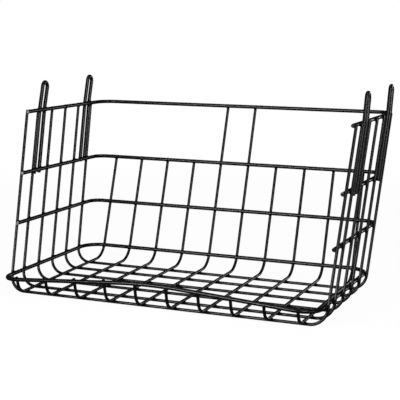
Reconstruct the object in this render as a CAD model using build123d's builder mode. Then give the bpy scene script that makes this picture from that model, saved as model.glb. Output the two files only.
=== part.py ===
"""A wire locker basket: twenty-four bent steel wires, welded where they cross.

Four thick hoops lie one above the other. Thin side wires cradle them from wall to wall under the
floor, thin back wires run from the back wall along the floor to the front lip, and four thick
hairpin prongs stand up over the rim. X runs to the right, Y to the back and Z up, in millimetres.
The origin is on the floor, under the middle of the basket's outer box.
"""
import os
from math import asin, atan, cos, hypot, radians, sin, sqrt, tan

from build123d import *

os.makedirs("parts", exist_ok=True)

# Wires
thick_wire = 3.175
thin_wire = 2.38
weld_sink = 0.25
end_chamfer = 0.35

# Walls
base_width = 256.3
wall_flare = 2.98
back_lean = 19.45
side_lean = 17.43

# Hoops
floor_drop = 12.35
lower_rise = 37.55
upper_rise = 76.05
rim_rise = 124.1
hoop_pitch_up = 0.95
rim_corner_r = 12.7
band_corner_r = 10.0
hoop_past_wire = 0.3

# Base hoop with the front lip
base_depth = 146.7
base_corner_r = 16.0
lip_corner_rise = 1.0
lip_arch = 9.1
lip_arch_r = 375.0
lip_arch_lean = 3.2

# Side wires
side_wires = 6
side_back_gap = 15.1
side_front_gap = 22.3
side_front_pitch = 17.3
side_bend_r = 12.7
tip_under_hoop_top = 0.5

# Back wires
back_wires = 10
back_wall_gap = 13.85
back_bend_r = 16.8
front_bend_r = 10.4
front_corner_gap = 6.2
tip_past_lip = 0.3
tip_spread = 1.0
tip_spread_shares = (0.5, 0.0, 1.0, 0.9, 0.1, 0.0, 0.2, 0.0, 0.3, 0.1)

# Prongs
prong_gauge = 7.3
prong_reach = 23.65
prong_past_hoop = 0.1
prong_knee_rise = 3.0
prong_knee_r = 40.0
left_front_gap = 0.1
left_back_gap = 0.15
right_front_gap = 0.5
right_back_gap = 3.5

# What follows from these sizes
thick_r = thick_wire / 2
thin_r = thin_wire / 2
crossing = thick_r + thin_r - weld_sink
flare = tan(radians(wall_flare))
lean_back = tan(radians(back_lean))
lean_side = tan(radians(side_lean))
side_floor = thin_r
back_floor = side_floor + thin_wire - weld_sink
base_level = side_floor + floor_drop
levels = {
    "rim_hoop": base_level + rim_rise,
    "upper_hoop": base_level + upper_rise,
    "lower_hoop": base_level + lower_rise,
}
tip_over_hoop = thick_r - tip_under_hoop_top

# The wires are spread evenly between the walls and between the lip and the back wall. Only the
# front side wire stands nearer to its neighbour.
back_pitch = (base_width - 2 * back_wall_gap) / (back_wires - 1)
side_spread = base_depth - side_front_gap - side_front_pitch - side_back_gap
side_pitch = side_spread / (side_wires - 2)

# The back run of the base hoop stands where the whole basket is centred on the origin.
front_reach = base_depth + lip_arch * sin(radians(lip_arch_lean)) + thick_r
back_reach = (rim_rise + tip_over_hoop) * lean_back + (crossing + thin_r) / cos(radians(back_lean))
back_line = (front_reach - back_reach) / 2


def half_width(z):
    """Distance from the middle to the centre of a hoop's side run at a level."""
    return base_width / 2 + flare * (z - base_level)


def back_y(z):
    """Place of the centre of a hoop's back run at a level."""
    return back_line + lean_back * (z - base_level)


def side_y(index, z):
    """Place along Y of a side wire at a level. Number 1 is the front one."""
    behind = (side_wires - index) * side_pitch
    if index == 1:
        behind = (side_wires - 2) * side_pitch + side_front_pitch
    return back_line - side_back_gap - behind + lean_side * (z - base_level)


def centre_line(*points, radii, close=False):
    """A wire's centre line: straight runs joined by tangent bends."""
    with BuildLine() as path:
        FilletPolyline(*points, radius=radii, close=close)
    return path.wire()


def bend_wire(name, path, radius):
    """Makes one wire along its centre line, breaks the edges of its cut ends and writes it."""
    with BuildPart() as wire:
        with BuildSketch(Plane(origin=path @ 0, z_dir=path % 0)):
            Circle(radius)
        sweep(path=path)
        cut_ends = wire.faces().filter_by(GeomType.PLANE).edges()
        if cut_ends:
            chamfer(cut_ends, length=end_chamfer)
    wire.part.label = name
    export_step(wire.part, f"parts/{name}.step")
    return wire.part


# The three open hoops. Each is level at the back and pitches up a little towards the front.
hoop_rise = tan(radians(hoop_pitch_up))
for name, level in levels.items():
    corner_r = rim_corner_r if name == "rim_hoop" else band_corner_r
    front_level = level + hoop_rise * (back_y(level) - side_y(1, level))
    front = side_y(1, front_level) - hoop_past_wire
    bend_wire(
        name,
        centre_line(
            (-half_width(front_level), front, front_level),
            (-half_width(level), back_y(level), level),
            (half_width(level), back_y(level), level),
            (half_width(front_level), front, front_level),
            radii=[corner_r] * 2,
        ),
        thick_r,
    )


# The base hoop is closed. Its front run is the lip, which arches up in the middle.
lip_y = back_line - base_depth
lip_level = base_level + lip_corner_rise
lip_half = half_width(lip_level)
arch_up = Vector(0, -sin(radians(lip_arch_lean)), cos(radians(lip_arch_lean)))
arch_top = Vector(0, lip_y, lip_level) + arch_up * lip_arch
bend_wire(
    "base_hoop",
    centre_line(
        (-half_width(base_level), back_line, base_level),
        (-lip_half, lip_y, lip_level),
        arch_top,
        (lip_half, lip_y, lip_level),
        (half_width(base_level), back_line, base_level),
        radii=[base_corner_r, base_corner_r, lip_arch_r, base_corner_r, base_corner_r],
        close=True,
    ),
    thick_r,
)


def lip_centre(x):
    """Y and Z of the lip's centre line at x: the straight slope, the arch's top or the corner."""
    slope = atan(lip_arch / lip_half)
    if abs(x) < lip_arch_r * sin(slope):
        rise = lip_arch - lip_arch_r / cos(slope) + sqrt(lip_arch_r**2 - x**2)
    else:
        rise = lip_arch * (1 - abs(x) / lip_half)
    into_corner = max(0, abs(x) - (lip_half - base_corner_r))
    set_back = base_corner_r - sqrt(base_corner_r**2 - into_corner**2)
    return lip_y + set_back + rise * arch_up.Y, lip_level + rise * arch_up.Z


# The side wires lie outside the hoops and carry the basket on the floor.
side_off = crossing / cos(radians(wall_flare))
for index in range(1, side_wires + 1):
    top = levels["rim_hoop"] + hoop_rise * (back_y(levels["rim_hoop"]) - side_y(index, levels["rim_hoop"]))
    top += tip_over_hoop
    bend_wire(
        f"side_wire_{index}",
        centre_line(
            (-half_width(top) - side_off, side_y(index, top), top),
            (-half_width(side_floor) - side_off, side_y(index, side_floor), side_floor),
            (half_width(side_floor) + side_off, side_y(index, side_floor), side_floor),
            (half_width(top) + side_off, side_y(index, top), top),
            radii=[side_bend_r] * 2,
        ),
        thin_r,
    )


# The back wires lie behind the hoops, on top of the side wires, and end behind the front lip.
back_off = crossing / cos(radians(back_lean))
corner_y = lip_y + front_corner_gap
middle_wires = (back_wires // 2, back_wires // 2 + 1)
for index in range(1, back_wires + 1):
    x = (index - (back_wires + 1) / 2) * back_pitch
    top = levels["rim_hoop" if index in middle_wires else "upper_hoop"] + tip_over_hoop
    past_lip = tip_past_lip + tip_spread * tip_spread_shares[(index - 1) % len(tip_spread_shares)]
    y, z = lip_centre(x)
    reach = hypot(corner_y - y, z - back_floor)
    tilt = atan((corner_y - y) / (z - back_floor)) - asin(crossing / reach)
    length = sqrt(reach**2 - crossing**2) + past_lip
    bend_wire(
        f"back_wire_{index:02d}",
        centre_line(
            (x, back_y(top) + back_off, top),
            (x, back_y(back_floor) + back_off, back_floor),
            (x, corner_y, back_floor),
            (x, corner_y - length * sin(tilt), back_floor + length * cos(tilt)),
            radii=[back_bend_r, front_bend_r],
        ),
        thin_r,
    )


def prong(name, side, first_leg):
    """A hairpin on one wall. The first leg's place is given at the level of the base hoop."""
    off = (thick_wire - weld_sink) / cos(radians(wall_flare))
    foot = levels["upper_hoop"] - thick_r - prong_past_hoop
    knee = levels["rim_hoop"] + prong_knee_rise
    head = levels["rim_hoop"] + prong_reach
    along = Vector(0, sin(radians(side_lean)), cos(radians(side_lean)))
    across = Vector(0, cos(radians(side_lean)), -sin(radians(side_lean)))
    apex = Vector(
        side * (half_width(knee) + off),
        first_leg + lean_side * (head - base_level) + prong_gauge / 2 / cos(radians(side_lean)),
        head,
    )
    legs = []
    for way in (-1, 1):
        turn = apex + (across * way - along) * (prong_gauge / 2)
        y_at_base = turn.Y - lean_side * (turn.Z - base_level)
        bottom = Vector(side * (half_width(foot) + off), y_at_base + lean_side * (foot - base_level), foot)
        bend = Vector(apex.X, y_at_base + lean_side * (knee - base_level), knee)
        legs.append((bottom, bend, turn))
    first, second = legs
    with BuildLine() as path:
        FilletPolyline(*first, radius=[prong_knee_r])
        ThreePointArc(first[2], apex, second[2])
        FilletPolyline(*reversed(second), radius=[prong_knee_r])
    bend_wire(name, path.wire(), thick_r)


# The prongs stand outside the hoops, the front ones just behind the second side wire and the back
# ones just in front of the last.
leg_pitch = prong_gauge / cos(radians(side_lean))
beside = (thin_r + thick_r) / cos(radians(side_lean))
for side, word, front_gap, back_gap in (
    (-1, "left", left_front_gap, left_back_gap),
    (1, "right", right_front_gap, right_back_gap),
):
    front_leg = side_y(2, base_level) + beside + front_gap
    back_leg = side_y(side_wires, base_level) - beside - back_gap - leg_pitch
    prong(f"prong_{word}_front", side, front_leg)
    prong(f"prong_{word}_back", side, back_leg)
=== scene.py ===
"""A wire locker basket in black powder coat: twenty-four steel wires, bent and spot welded.

Every wire is a round tube carried along its centre line. Where two wires are welded, metal and
coat fill the crevice between them. The wires' sizes are in millimetres until a mesh is made from
them. The coat's grain, the camera, the floor and the lights are in metres.
"""

from math import asin, atan, ceil, cos, hypot, pi, radians, sin, sqrt, tan

import bpy
import numpy as np
from mathutils import Matrix, Vector


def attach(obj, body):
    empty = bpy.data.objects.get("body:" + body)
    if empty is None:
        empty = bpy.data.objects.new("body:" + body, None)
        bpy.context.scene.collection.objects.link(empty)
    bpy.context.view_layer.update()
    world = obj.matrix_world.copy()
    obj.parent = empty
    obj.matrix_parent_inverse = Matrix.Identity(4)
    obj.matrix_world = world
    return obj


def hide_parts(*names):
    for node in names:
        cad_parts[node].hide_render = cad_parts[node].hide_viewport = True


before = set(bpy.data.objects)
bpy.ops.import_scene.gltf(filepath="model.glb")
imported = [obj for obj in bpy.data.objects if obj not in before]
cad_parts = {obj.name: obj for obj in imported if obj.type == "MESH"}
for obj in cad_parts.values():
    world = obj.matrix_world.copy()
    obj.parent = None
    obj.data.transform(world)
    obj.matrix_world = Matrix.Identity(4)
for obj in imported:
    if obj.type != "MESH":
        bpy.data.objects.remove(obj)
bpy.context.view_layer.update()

MM = 0.001

# Wires
thick_wire = 3.175
thin_wire = 2.38
weld_sink = 0.25
end_chamfer = 0.35

# Walls
base_width = 256.3
wall_flare = 2.98
back_lean = 19.45
side_lean = 17.43

# Hoops
floor_drop = 12.35
lower_rise = 37.55
upper_rise = 76.05
rim_rise = 124.1
hoop_pitch_up = 0.95
rim_corner_r = 12.7
band_corner_r = 10.0
left_end_past_wire = 3.7
right_end_past_wire = 0.0

# Base hoop with the front lip
base_depth = 146.7
base_corner_r = 16.0
lip_corner_rise = 1.0
lip_arch = 9.1
lip_arch_r = 375.0
lip_arch_lean = 3.2

# Side wires
side_wires = 6
side_back_gap = 15.1
side_front_gap = 22.3
side_front_pitch = 17.3
side_bend_r = 12.7
tip_under_hoop_top = 0.5

# Back wires
back_wires = 10
back_wall_gap = 13.85
back_bend_r = 16.8
front_bend_r = 10.4
front_corner_gap = 6.2
tip_past_lip = 0.3
tip_spread = 1.0
tip_spread_shares = (0.5, 0.0, 1.0, 0.9, 0.1, 0.0, 0.2, 0.0, 0.3, 0.1)

# Prongs
prong_gauge = 7.3
prong_reach = 23.65
prong_past_hoop = 0.1
prong_knee_rise = 3.0
prong_knee_r = 40.0
left_front_gap = 0.1
left_back_gap = 0.15
right_front_gap = 0.5
right_back_gap = 3.5

# What follows from these sizes
thick_r = thick_wire / 2
thin_r = thin_wire / 2
crossing = thick_r + thin_r - weld_sink
flare = tan(radians(wall_flare))
lean_back = tan(radians(back_lean))
lean_side = tan(radians(side_lean))
hoop_rise = tan(radians(hoop_pitch_up))
side_floor = thin_r
back_floor = side_floor + thin_wire - weld_sink
base_level = side_floor + floor_drop
rim_level = base_level + rim_rise
upper_level = base_level + upper_rise
lower_level = base_level + lower_rise
tip_over_hoop = thick_r - tip_under_hoop_top
back_pitch = (base_width - 2 * back_wall_gap) / (back_wires - 1)
side_spread = base_depth - side_front_gap - side_front_pitch - side_back_gap
side_pitch = side_spread / (side_wires - 2)
front_reach = base_depth + lip_arch * sin(radians(lip_arch_lean)) + thick_r
back_reach = (rim_rise + tip_over_hoop) * lean_back + (crossing + thin_r) / cos(radians(back_lean))
back_line = (front_reach - back_reach) / 2

# How finely a wire is drawn
around_thick = 32
around_thin = 28
bend_sag = 0.008
longest_step = 9.0
shortest_step = 0.12
weld_window = 3.3
weld_step = 0.33

# Welds
weld_found_under = 0.15
weld_searched_past = 1.0
fillet = 1.5
fillet_dive = 0.5
fillet_rounds = 14
fillet_step = 0.7

# Cut ends, and how bare a wire's first and last cut are in the middle; the light bare steel there is
# partly a painted glint
end_round_angles = np.radians([90, 68, 45, 22, 0])
end_face_shares = (0.38, 0.72, 0.95)
usual_bare_and_glint = (0.45, 0.45)
# The hoops' first (left) cuts are barer than their last (right) ones: a painted glint, brighter on the
# left
rim_hoop_bare_and_glint = (0.72, 0.36)
upper_hoop_bare_and_glint = (0.8, 0.5)
lower_hoop_bare_and_glint = (0.8, 0.2)
bare_and_glint_more_at_rim = 0.35

# Powder coat, and the steel where it is thin; that light steel colour at the cut ends also paints
# their glint
cloud_scale = 55.0
cloud_detail = 3.0
cloud_range = (0.3, 0.7)
skin_scale = 1100.0
skin_detail = 2.0
skin_range = (0.35, 0.6)
skin_bump = 0.12
skin_depth = 0.00004
speck_scale = 5200.0
speck_detail = 1.0
speck_range = (0.3, 0.7)
steel_speck_range = (0.35, 0.65)
ragged_shares = (0.55, 1.0)
coat_thins_and_glints_over = (0.55, 0.85)
none_to_whole = (0.0, 1.0)
coat_dark = (0.004, 0.004, 0.0042, 1)
coat_light = (0.008, 0.008, 0.0085, 1)
# Bare steel colours at the cut ends, lightened to paint a glint there
steel_and_glint_dark = (0.45, 0.45, 0.455, 1)
steel_and_glint_light = (0.7, 0.7, 0.7, 1)
cloud_roughness = (0.2, 0.28)
speck_roughness = (0.2, 0.32)
speck_share = 0.35
steel_roughness = (0.45, 0.65)
coat_metallic = 0.0
steel_metallic = 0.3

# Camera
camera_lens = 100.797
camera_sensor = 36.0
camera_clip_start = 0.01
camera_azimuth = 22.710
camera_elevation = 10.146
camera_roll = 0.065
camera_place = (0.34381, -0.81970, 0.22937)

# Floor
floor_size = 60.0
floor_clear = 0.0002
floor_colour = 0.16
floor_glow = 0.94
shadow_fades_from = 0.3
shadow_ends_at = 0.8

# Light
white_colour = (1.0, 1.0, 1.0, 1)
seen_strength = 1.0
world_strength = 0.03
light_aim = (0, 0, 0.07)


def half_width(z):
    """Distance from the middle to the centre of a hoop's side run at a level."""
    return base_width / 2 + flare * (z - base_level)


def back_y(z):
    """Place of the centre of a hoop's back run at a level."""
    return back_line + lean_back * (z - base_level)


def side_y(index, z):
    """Place along Y of a side wire at a level. Number 1 is the front one."""
    behind = (side_wires - index) * side_pitch
    if index == 1:
        behind = (side_wires - 2) * side_pitch + side_front_pitch
    return back_line - side_back_gap - behind + lean_side * (z - base_level)


class CentreLine:
    """Straight runs joined by round bends.

    A bend of radius r at a corner where the wire turns by an angle a starts r tan(a / 2) before the
    corner. At a distance s into a piece with curvature k, which is 0 on a run and 1 / r on a bend,
    the place is start + forward sin(k s) / k + inward (1 - cos(k s)) / k.
    """

    def __init__(self, corners, bend_radii, closed=False):
        corners = np.array(corners, float)
        self.closed = closed
        if closed:
            corners = np.roll(corners, 1, axis=0)
            before, after = np.roll(corners, 1, axis=0), np.roll(corners, -1, axis=0)
            bends, bend_radii = corners, np.roll(bend_radii, 1)
        else:
            before, bends, after = corners[:-2], corners[1:-1], corners[2:]
        way_in, way_out = bends - before, after - bends
        way_in /= np.linalg.norm(way_in, axis=1)[:, None]
        way_out /= np.linalg.norm(way_out, axis=1)[:, None]
        turn = np.arccos(np.clip((way_in * way_out).sum(1), -1, 1))
        radii = np.array(bend_radii, float)
        back_off = (radii * np.tan(turn / 2))[:, None]
        enters, leaves = bends - way_in * back_off, bends + way_out * back_off
        inward = way_out - way_in * np.cos(turn)[:, None]
        inward /= np.linalg.norm(inward, axis=1)[:, None]

        starts, forwards, inwards, curvatures, lengths = [], [], [], [], []
        at = leaves[-1] if closed else corners[0]
        for k in range(len(bends)):
            starts += [at, enters[k]]
            forwards += [way_in[k], way_in[k]]
            inwards += [inward[k], inward[k]]
            curvatures += [0.0, 1 / radii[k]]
            lengths += [np.linalg.norm(enters[k] - at), radii[k] * turn[k]]
            at = leaves[k]
        if not closed:
            starts.append(at)
            forwards.append(way_out[-1])
            inwards.append(inward[-1])
            curvatures.append(0.0)
            lengths.append(np.linalg.norm(corners[-1] - at))
        self.starts, self.forwards = np.array(starts), np.array(forwards)
        self.inwards, self.curvatures = np.array(inwards), np.array(curvatures)
        self.marks = np.concatenate([[0.0], np.cumsum(lengths)])
        self.length = self.marks[-1]

    def at(self, s):
        """Places and directions at distances s along the wire."""
        s = np.asarray(s, float)
        if self.closed:
            s = s % self.length
        piece = np.clip(np.searchsorted(self.marks, s, side="right") - 1, 0, len(self.starts) - 1)
        into = (s - self.marks[piece])[:, None]
        curvature = self.curvatures[piece][:, None]
        bent = curvature > 0
        safe = np.where(bent, curvature, 1.0)
        ahead = np.where(bent, np.sin(safe * into) / safe, into)
        aside = np.where(bent, (1 - np.cos(safe * into)) / safe, 0.0)
        forward, inward = self.forwards[piece], self.inwards[piece]
        places = self.starts[piece] + ahead * forward + aside * inward
        directions = np.cos(curvature * into) * forward + np.sin(curvature * into) * inward
        return places, directions

    def stations(self, welds):
        """Distances for the rings of the tube: close together in bends and at welds.

        A chord of length c on a bend with curvature k leaves a gap of c^2 k / 8 to the bend.
        """
        marks = [np.array([0.0, self.length])]
        for start, end, curvature in zip(self.marks[:-1], self.marks[1:], self.curvatures):
            step = min(sqrt(8 * bend_sag / curvature), longest_step) if curvature else longest_step
            marks.append(np.linspace(start, end, ceil((end - start) / step) + 1))
        near = np.arange(-weld_window, weld_window + weld_step / 2, weld_step)
        marks += [weld + near for weld in welds]
        s = np.concatenate(marks)
        if self.closed:
            s = np.sort(s % self.length)
        else:
            s = np.sort(s[(s >= 0) & (s <= self.length)])
        kept = [s[0]]
        for value in s[1:]:
            if value - kept[-1] > shortest_step:
                kept.append(value)
        return np.array(kept)


# The wires by name
wires = {}


def add_wire(name, corners, bend_radii, radius, across, closed=False, bared=usual_bare_and_glint):
    """Notes down one wire. The value across is a direction that it never runs along."""
    across = np.array(across, float)
    wires[name] = {
        "line": CentreLine(corners, bend_radii, closed),
        "radius": radius,
        "across": across / np.linalg.norm(across),
        "bared": bared,
        "welds": [],
    }


# The three open hoops
for name, level, corner_r, hoop_bare_and_glint in (
    ("rim_hoop", rim_level, rim_corner_r, rim_hoop_bare_and_glint),
    ("upper_hoop", upper_level, band_corner_r, upper_hoop_bare_and_glint),
    ("lower_hoop", lower_level, band_corner_r, lower_hoop_bare_and_glint),
):
    front_level = level + hoop_rise * (back_y(level) - side_y(1, level))
    front = side_y(1, front_level)
    add_wire(
        name,
        [
            (-half_width(front_level), front - left_end_past_wire, front_level),
            (-half_width(level), back_y(level), level),
            (half_width(level), back_y(level), level),
            (half_width(front_level), front - right_end_past_wire, front_level),
        ],
        [corner_r] * 2,
        thick_r,
        (0, 0, 1),
        bared=hoop_bare_and_glint,
    )

# The base hoop, closed, with the lip as its front run
lip_y = back_line - base_depth
lip_level = base_level + lip_corner_rise
lip_half = half_width(lip_level)
arch_up_y = -sin(radians(lip_arch_lean))
arch_up_z = cos(radians(lip_arch_lean))
add_wire(
    "base_hoop",
    [
        (-half_width(base_level), back_line, base_level),
        (-lip_half, lip_y, lip_level),
        (0, lip_y + lip_arch * arch_up_y, lip_level + lip_arch * arch_up_z),
        (lip_half, lip_y, lip_level),
        (half_width(base_level), back_line, base_level),
    ],
    [base_corner_r, base_corner_r, lip_arch_r, base_corner_r, base_corner_r],
    thick_r,
    (0, 0, 1),
    closed=True,
)


def lip_centre(x):
    """Y and Z of the lip's centre line at x: the straight slope, the arch's top or the corner."""
    slope = atan(lip_arch / lip_half)
    if abs(x) < lip_arch_r * sin(slope):
        rise = lip_arch - lip_arch_r / cos(slope) + sqrt(lip_arch_r**2 - x**2)
    else:
        rise = lip_arch * (1 - abs(x) / lip_half)
    into_corner = max(0, abs(x) - (lip_half - base_corner_r))
    set_back = base_corner_r - sqrt(base_corner_r**2 - into_corner**2)
    return lip_y + set_back + rise * arch_up_y, lip_level + rise * arch_up_z


# The side wires, down the left wall, under the floor and up the right wall
side_off = crossing / cos(radians(wall_flare))
for index in range(1, side_wires + 1):
    top = rim_level + hoop_rise * (back_y(rim_level) - side_y(index, rim_level)) + tip_over_hoop
    add_wire(
        f"side_wire_{index}",
        [
            (-half_width(top) - side_off, side_y(index, top), top),
            (-half_width(side_floor) - side_off, side_y(index, side_floor), side_floor),
            (half_width(side_floor) + side_off, side_y(index, side_floor), side_floor),
            (half_width(top) + side_off, side_y(index, top), top),
        ],
        [side_bend_r] * 2,
        thin_r,
        (0, 1, -lean_side),
    )

# The back wires, down the back wall, along the floor and up behind the lip
back_off = crossing / cos(radians(back_lean))
corner_y = lip_y + front_corner_gap
middle_wires = (back_wires // 2, back_wires // 2 + 1)
for index in range(1, back_wires + 1):
    x = (index - (back_wires + 1) / 2) * back_pitch
    top = (rim_level if index in middle_wires else upper_level) + tip_over_hoop
    past_lip = tip_past_lip + tip_spread * tip_spread_shares[(index - 1) % len(tip_spread_shares)]
    y, z = lip_centre(x)
    reach = hypot(corner_y - y, z - back_floor)
    tilt = atan((corner_y - y) / (z - back_floor)) - asin(crossing / reach)
    length = sqrt(reach**2 - crossing**2) + past_lip
    add_wire(
        f"back_wire_{index:02d}",
        [
            (x, back_y(top) + back_off, top),
            (x, back_y(back_floor) + back_off, back_floor),
            (x, corner_y, back_floor),
            (x, corner_y - length * sin(tilt), back_floor + length * cos(tilt)),
        ],
        [back_bend_r, front_bend_r],
        thin_r,
        (1, 0, 0),
    )

# The prongs, hairpins on the two walls
prong_off = (thick_wire - weld_sink) / cos(radians(wall_flare))
prong_foot = upper_level - thick_r - prong_past_hoop
prong_knee = rim_level + prong_knee_rise
prong_head = rim_level + prong_reach
leg_up = np.array([0, sin(radians(side_lean)), cos(radians(side_lean))])
leg_across = np.array([0, cos(radians(side_lean)), -sin(radians(side_lean))])
leg_pitch = prong_gauge / cos(radians(side_lean))
beside = (thin_r + thick_r) / cos(radians(side_lean))


def add_prong(name, side, first_leg):
    """A hairpin from its first leg's place at the base hoop's level. Its head is a half turn."""
    crown = np.array(
        [
            side * (half_width(prong_knee) + prong_off),
            first_leg + lean_side * (prong_head - base_level) + leg_pitch / 2,
            prong_head,
        ]
    )
    legs = []
    for way in (-1, 1):
        shoulder = crown + leg_across * way * prong_gauge / 2
        leg = shoulder[1] - lean_side * (shoulder[2] - base_level)
        knee = (crown[0], leg + lean_side * (prong_knee - base_level), prong_knee)
        foot_x = side * (half_width(prong_foot) + prong_off)
        foot = (foot_x, leg + lean_side * (prong_foot - base_level), prong_foot)
        legs.append([foot, knee, shoulder])
    add_wire(
        name,
        legs[0] + legs[1][::-1],
        [prong_knee_r, prong_gauge / 2, prong_gauge / 2, prong_knee_r],
        thick_r,
        (1, 0, 0),
    )


for side, word, front_gap, back_gap in (
    (-1, "left", left_front_gap, left_back_gap),
    (1, "right", right_front_gap, right_back_gap),
):
    front_leg = side_y(2, base_level) + beside + front_gap
    back_leg = side_y(side_wires, base_level) - beside - back_gap - leg_pitch
    add_prong(f"prong_{word}_front", side, front_leg)
    add_prong(f"prong_{word}_back", side, back_leg)


def find_welds(one, other):
    """Notes where two wires touch: each keeps its own place there and a bar like the other wire.

    The lines are sampled about every millimetre, and from each nearest pair of samples the two
    tangents are followed to the points where they are nearest to each other.
    """
    samples = []
    for wire in (one, other):
        s = np.linspace(0, wire["line"].length, ceil(wire["line"].length) + 1)
        samples.append((s, *wire["line"].at(s)))
    (s, p, t), (s2, p2, t2) = samples
    apart = ((p[:, None] - p2[None]) ** 2).sum(2)
    nearest = apart.argmin(1)
    least = apart[np.arange(len(s)), nearest]
    padded = np.concatenate([[np.inf], least, [np.inf]])
    touching = one["radius"] + other["radius"] + weld_found_under
    dips = (least <= padded[:-2]) & (least < padded[2:])
    dips &= least < (touching + weld_searched_past) ** 2
    for i in np.flatnonzero(dips):
        j = nearest[i]
        gap = p2[j] - p[i]
        slant = t[i] @ t2[j]
        along = (gap @ t[i] - slant * (gap @ t2[j])) / (1 - slant**2)
        along2 = (slant * (gap @ t[i]) - gap @ t2[j]) / (1 - slant**2)
        mine = np.clip(s[i] + along, 0, one["line"].length)
        theirs = np.clip(s2[j] + along2, 0, other["line"].length)
        a, ta = (v[0] for v in one["line"].at([mine]))
        b, tb = (v[0] for v in other["line"].at([theirs]))
        if np.linalg.norm(a - b) > touching:
            continue
        for wire, at, far, centre, direction, place in (
            (one, mine, other, b, tb, theirs),
            (other, theirs, one, a, ta, mine),
        ):
            ends = (np.inf, np.inf)
            if not far["line"].closed:
                ends = (place, far["line"].length - place)
            wire["welds"].append((at, centre, direction, far["radius"], ends))


def bar_distance(points, centre, direction, radius, ends):
    """Distance of points from a round bar that is cut off square at both ends."""
    offset = points - centre
    along = offset @ direction
    beside = np.linalg.norm(offset - along[..., None] * direction, axis=-1) - radius
    past_end = np.maximum(-along - ends[0], along - ends[1])
    inside = np.minimum(np.maximum(beside, past_end), 0)
    return inside + np.hypot(np.maximum(beside, 0), np.maximum(past_end, 0))


def weld_height(wire, s, centres, outward):
    """How far the tube's surface rises at its welds, for each ring and each line along it.

    At a height h over the wire, with b the distance from the other wire, the filled surface is
    where min(h, b) - (f - |h - b|)^2 / (4 f) is zero, and f is the fillet's size. It is highest,
    f / 4, on the line that is as far from both wires. Past that line the surface dives into the
    weld, where it isn't seen.
    """
    height = np.zeros(outward.shape[:2])
    line = wire["line"]
    for at, centre, direction, radius, ends in wire["welds"]:
        away = np.abs(s - at)
        if line.closed:
            away = np.minimum(away, line.length - away)
        rings = away < weld_window
        start = centres[rings][:, None] + wire["radius"] * outward[rings]
        rise = np.zeros(start.shape[:2])
        for _ in range(fillet_rounds):
            b = bar_distance(start + rise[..., None] * outward[rings], centre, direction, radius, ends)
            overlap = np.maximum(fillet - np.abs(rise - b), 0)
            surface = np.minimum(rise, b) - overlap**2 / (4 * fillet)
            surface += fillet_dive * np.maximum(rise - b, 0)
            rise = np.clip(rise - fillet_step * surface, 0, fillet / 4)
        height[rings] = np.maximum(height[rings], rise)
    return height


def tube(name, wire):
    """The mesh of one coated wire: a circle carried along its centre line.

    A point of the circle at the angle a lies at centre + radius (cos a U + sin a V), where U is
    the part of a fixed direction that is square to the wire, and V is square to both. At a cut end
    the circle draws in along a quarter round of the coat, then over the flat cut to its middle.
    The mesh's attribute for the cut ends says where the coat is thin and where light steel paints a
    glint: on a cut it is the wire's own value in the middle and rises with the square of the distance
    from there, and over the round it falls to 0.
    """
    line, radius = wire["line"], wire["radius"]
    around = around_thick if radius == thick_r else around_thin
    s = line.stations([weld[0] for weld in wire["welds"]])
    share = np.ones(len(s))
    if not line.closed:
        s = s[(s > end_chamfer) & (s < line.length - end_chamfer)]
        round_s = end_chamfer * (1 - np.sin(end_round_angles))
        round_share = 1 - end_chamfer * (1 - np.cos(end_round_angles)) / radius
        face_share = round_share[0] * np.array(end_face_shares)
        cap_s = np.concatenate([np.zeros(len(face_share)), round_s])
        cap_share = np.concatenate([face_share, round_share])
        s = np.concatenate([cap_s, s, (line.length - cap_s)[::-1]])
        share = np.concatenate([cap_share, np.ones(len(s) - 2 * len(cap_s)), cap_share[::-1]])
    centres, directions = line.at(s)
    u = wire["across"] - (directions @ wire["across"])[:, None] * directions
    u /= np.linalg.norm(u, axis=1)[:, None]
    v = np.cross(directions, u)
    angle = np.linspace(0, 2 * pi, around, endpoint=False)
    outward = np.cos(angle)[None, :, None] * u[:, None] + np.sin(angle)[None, :, None] * v[:, None]
    height = weld_height(wire, s, centres, outward)
    points = centres[:, None] + ((radius + height) * share[:, None])[..., None] * outward

    rings = len(s)
    grid = np.arange(rings * around).reshape(rings, around)
    next_around = np.roll(grid, -1, axis=1)
    rows = np.roll(grid, -1, axis=0) if line.closed else grid[1:]
    next_rows = np.roll(rows, -1, axis=1)
    low, low_next = (grid, next_around) if line.closed else (grid[:-1], next_around[:-1])
    faces = np.stack([low, low_next, next_rows, rows], -1).reshape(-1, 4).tolist()
    points = points.reshape(-1, 3)
    bare_and_glint = np.zeros(len(points))
    if not line.closed:
        first, last = len(points), len(points) + 1
        points = np.concatenate([points, centres[:1], centres[-1:]])
        faces += np.stack([next_around[0], grid[0], np.full(around, first)], -1).tolist()
        faces += np.stack([grid[-1], next_around[-1], np.full(around, last)], -1).tolist()
        # How bare a cut end is, which also places the painted glint: more towards the cut's rim
        cut = np.clip((1 - share) * radius / end_chamfer, 0, 1) ** 2
        in_middle = np.where(np.arange(rings) < rings / 2, *wire["bared"])
        more = bare_and_glint_more_at_rim * np.minimum(share / round_share[0], 1) ** 2
        bare_and_glint = np.concatenate([np.repeat(cut * (in_middle + more), around), wire["bared"]])
    mesh = bpy.data.meshes.new(name)
    mesh.from_pydata((points * MM).tolist(), [], faces)
    mesh.polygons.foreach_set("use_smooth", np.ones(len(faces), bool))
    mesh.attributes.new("bare_end_and_glint", "FLOAT", "POINT").data.foreach_set("value", bare_and_glint.astype(np.float32))
    mesh.update()
    piece = bpy.data.objects.new(name, mesh)
    bpy.context.scene.collection.objects.link(piece)
    return piece


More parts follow.
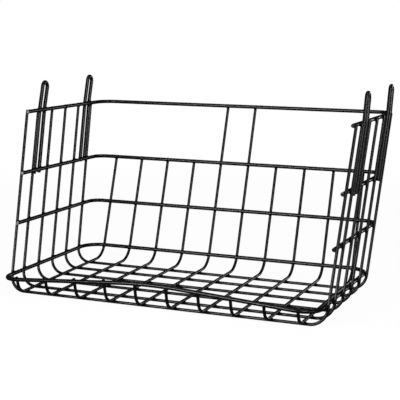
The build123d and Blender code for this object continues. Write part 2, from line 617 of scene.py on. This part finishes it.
def powder_coat():
    """Black satin powder coat over steel: cloudy gloss, an orange peel skin, thin at cut ends, where
    light steel colour also paints a glint.
    """
    material = bpy.data.materials.new("black_powder_coat")
    material.use_nodes = True
    nodes, links = material.node_tree.nodes, material.node_tree.links
    shader = nodes["Principled BSDF"]

    place = nodes.new("ShaderNodeTexCoord").outputs["Object"]

    def noise(scale, detail):
        """Cloudy values between 0 and 1, with so many grains in a metre."""
        node = nodes.new("ShaderNodeTexNoise")
        node.inputs["Scale"].default_value = scale
        node.inputs["Detail"].default_value = detail
        links.new(place, node.inputs["Vector"])
        return node.outputs["Fac"]

    def spread(value, given, wanted):
        """Carries a value from one range to another, straight, and holds it in there."""
        node = nodes.new("ShaderNodeMapRange")
        sockets = ("From Min", "From Max", "To Min", "To Max")
        for socket, number in zip(sockets, given + wanted):
            node.inputs[socket].default_value = number
        links.new(value, node.inputs["Value"])
        return node.outputs["Result"]

    def mixed(kind, amount, one, two):
        """One value for the amount 0, two for the amount 1. The node has other sockets per kind."""
        node = nodes.new("ShaderNodeMix")
        node.data_type = kind
        sockets = {"FLOAT": (0, 2, 3, 0), "RGBA": (0, 6, 7, 2)}[kind]
        for socket, value in zip(sockets, (amount, one, two)):
            if isinstance(value, (float, int, tuple)):
                node.inputs[socket].default_value = value
            else:
                links.new(value, node.inputs[socket])
        return node.outputs[sockets[3]]

    clouds = noise(cloud_scale, cloud_detail)
    skin = noise(skin_scale, skin_detail)
    specks = noise(speck_scale, speck_detail)
    # The cut ends' mask, for bare steel and a painted glint
    cut = nodes.new("ShaderNodeAttribute")
    cut.attribute_name = "bare_end_and_glint"
    ragged = nodes.new("ShaderNodeMath")
    ragged.operation = "MULTIPLY"
    links.new(cut.outputs["Fac"], ragged.inputs[0])
    links.new(spread(skin, skin_range, ragged_shares), ragged.inputs[1])
    thin_coat_and_glint = spread(ragged.outputs[0], coat_thins_and_glints_over, none_to_whole)

    coat = mixed("RGBA", spread(clouds, cloud_range, none_to_whole), coat_dark, coat_light)
    # Light steel where the coat is thin, partly a painted glint on the cut ends
    steel = mixed("RGBA", spread(specks, steel_speck_range, none_to_whole), steel_and_glint_dark, steel_and_glint_light)
    cloudy = spread(clouds, cloud_range, cloud_roughness)
    specked = spread(specks, speck_range, speck_roughness)
    coat_roughness = mixed("FLOAT", speck_share, cloudy, specked)
    bare_roughness = spread(specks, speck_range, steel_roughness)
    links.new(mixed("RGBA", thin_coat_and_glint, coat, steel), shader.inputs["Base Color"])
    links.new(mixed("FLOAT", thin_coat_and_glint, coat_roughness, bare_roughness), shader.inputs["Roughness"])
    links.new(mixed("FLOAT", thin_coat_and_glint, coat_metallic, steel_metallic), shader.inputs["Metallic"])
    bump = nodes.new("ShaderNodeBump")
    bump.inputs["Strength"].default_value = skin_bump
    bump.inputs["Distance"].default_value = skin_depth
    links.new(skin, bump.inputs["Height"])
    links.new(bump.outputs["Normal"], shader.inputs["Normal"])
    return material


def pale_floor():
    """A pale floor that the camera sees white. The basket's shadow stays in it and fades outwards."""
    material = bpy.data.materials.new("pale_floor")
    material.use_nodes = True
    nodes, links = material.node_tree.nodes, material.node_tree.links
    nodes.clear()
    seen = nodes.new("ShaderNodeLightPath").outputs["Is Camera Ray"]
    diffuse = nodes.new("ShaderNodeBsdfDiffuse")
    diffuse.inputs["Color"].default_value = (floor_colour, floor_colour, floor_colour, 1)
    glow = nodes.new("ShaderNodeEmission")
    lit = nodes.new("ShaderNodeMath")
    lit.operation = "MULTIPLY"
    lit.inputs[1].default_value = floor_glow
    links.new(seen, lit.inputs[0])
    links.new(lit.outputs[0], glow.inputs["Strength"])
    near = nodes.new("ShaderNodeAddShader")
    links.new(diffuse.outputs[0], near.inputs[0])
    links.new(glow.outputs[0], near.inputs[1])
    far = nodes.new("ShaderNodeEmission")
    distance = nodes.new("ShaderNodeVectorMath")
    distance.operation = "LENGTH"
    links.new(nodes.new("ShaderNodeTexCoord").outputs["Object"], distance.inputs[0])
    fade = nodes.new("ShaderNodeMapRange")
    fade.interpolation_type = "SMOOTHSTEP"
    fade.inputs["From Min"].default_value = shadow_fades_from
    fade.inputs["From Max"].default_value = shadow_ends_at
    links.new(distance.outputs["Value"], fade.inputs["Value"])
    faded = nodes.new("ShaderNodeMath")
    faded.operation = "MULTIPLY"
    links.new(fade.outputs["Result"], faded.inputs[0])
    links.new(seen, faded.inputs[1])
    blend = nodes.new("ShaderNodeMixShader")
    links.new(faded.outputs[0], blend.inputs[0])
    links.new(near.outputs[0], blend.inputs[1])
    links.new(far.outputs[0], blend.inputs[2])
    out = nodes.new("ShaderNodeOutputMaterial")
    links.new(blend.outputs[0], out.inputs["Surface"])
    return material


# The camera
azimuth, elevation, roll = (radians(v) for v in (camera_azimuth, camera_elevation, camera_roll))
to_right = Vector((cos(azimuth), sin(azimuth), 0))
to_back = Vector((sin(azimuth) * cos(elevation), -cos(azimuth) * cos(elevation), sin(elevation)))
to_top = to_back.cross(to_right)
rolled_right = cos(roll) * to_right + sin(roll) * to_top
rolled_top = cos(roll) * to_top - sin(roll) * to_right
lens = bpy.data.cameras.new("camera")
lens.lens = camera_lens
lens.sensor_width = camera_sensor
lens.clip_start = camera_clip_start
camera = bpy.data.objects.new("camera", lens)
camera_turn = Matrix((rolled_right, rolled_top, to_back)).transposed().to_4x4()
camera.matrix_world = Matrix.Translation(camera_place) @ camera_turn
bpy.context.scene.collection.objects.link(camera)
bpy.context.scene.camera = camera

# The wires
names = sorted(wires)
for i, one in enumerate(names):
    for other in names[i + 1 :]:
        find_welds(wires[one], wires[other])
coat = powder_coat()
for name in names:
    piece = tube(f"coated_{name}", wires[name])
    piece.data.materials.append(coat)
    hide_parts(name)
    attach(piece, "root")

# The floor
half = floor_size / 2
floor_plan = ((-half, -half), (half, -half), (half, half), (-half, half))
floor_mesh = bpy.data.meshes.new("floor")
floor_mesh.from_pydata([(x, y, -floor_clear) for x, y in floor_plan], [], [(0, 1, 2, 3)])
floor_mesh.materials.append(pale_floor())
floor = bpy.data.objects.new("floor", floor_mesh)
bpy.context.scene.collection.objects.link(floor)

# The world is white to the camera, and lights the basket only a little.
world = bpy.data.worlds.new("studio")
bpy.context.scene.world = world
world.use_nodes = True
nodes, links = world.node_tree.nodes, world.node_tree.links
nodes.clear()
rays = nodes.new("ShaderNodeLightPath")
white = nodes.new("ShaderNodeBackground")
white.inputs["Color"].default_value = white_colour
white.inputs["Strength"].default_value = seen_strength
soft = nodes.new("ShaderNodeBackground")
soft.inputs["Color"].default_value = white_colour
soft.inputs["Strength"].default_value = world_strength
blend = nodes.new("ShaderNodeMixShader")
links.new(rays.outputs["Is Camera Ray"], blend.inputs[0])
links.new(soft.outputs[0], blend.inputs[1])
links.new(white.outputs[0], blend.inputs[2])
out = nodes.new("ShaderNodeOutputWorld")
links.new(blend.outputs[0], out.inputs["Surface"])

# The softboxes, rectangular lights that face the middle of the basket
for name, place, width, height, power in (
    ("key_light", (-0.32, -1.0, 0.29), 0.46, 0.14, 4.5),
    ("fill_light", (0.9, -0.9, 0.85), 0.3, 0.5, 4.4),
    ("low_light", (1.3, -0.35, 0.22), 0.5, 0.3, 0.9),
    ("top_light", (0.0, 0.1, 1.3), 1.4, 1.0, 1.6),
    ("back_light", (0.45, 1.5, 0.13), 0.8, 0.2, 2.0),
):
    light = bpy.data.lights.new(name, "AREA")
    light.shape = "RECTANGLE"
    light.size = width
    light.size_y = height
    light.energy = power
    lamp = bpy.data.objects.new(name, light)
    lamp.location = place
    lamp.rotation_euler = (Vector(place) - Vector(light_aim)).to_track_quat("Z", "Y").to_euler()
    bpy.context.scene.collection.objects.link(lamp)

bpy.context.scene.view_settings.view_transform = "Standard"
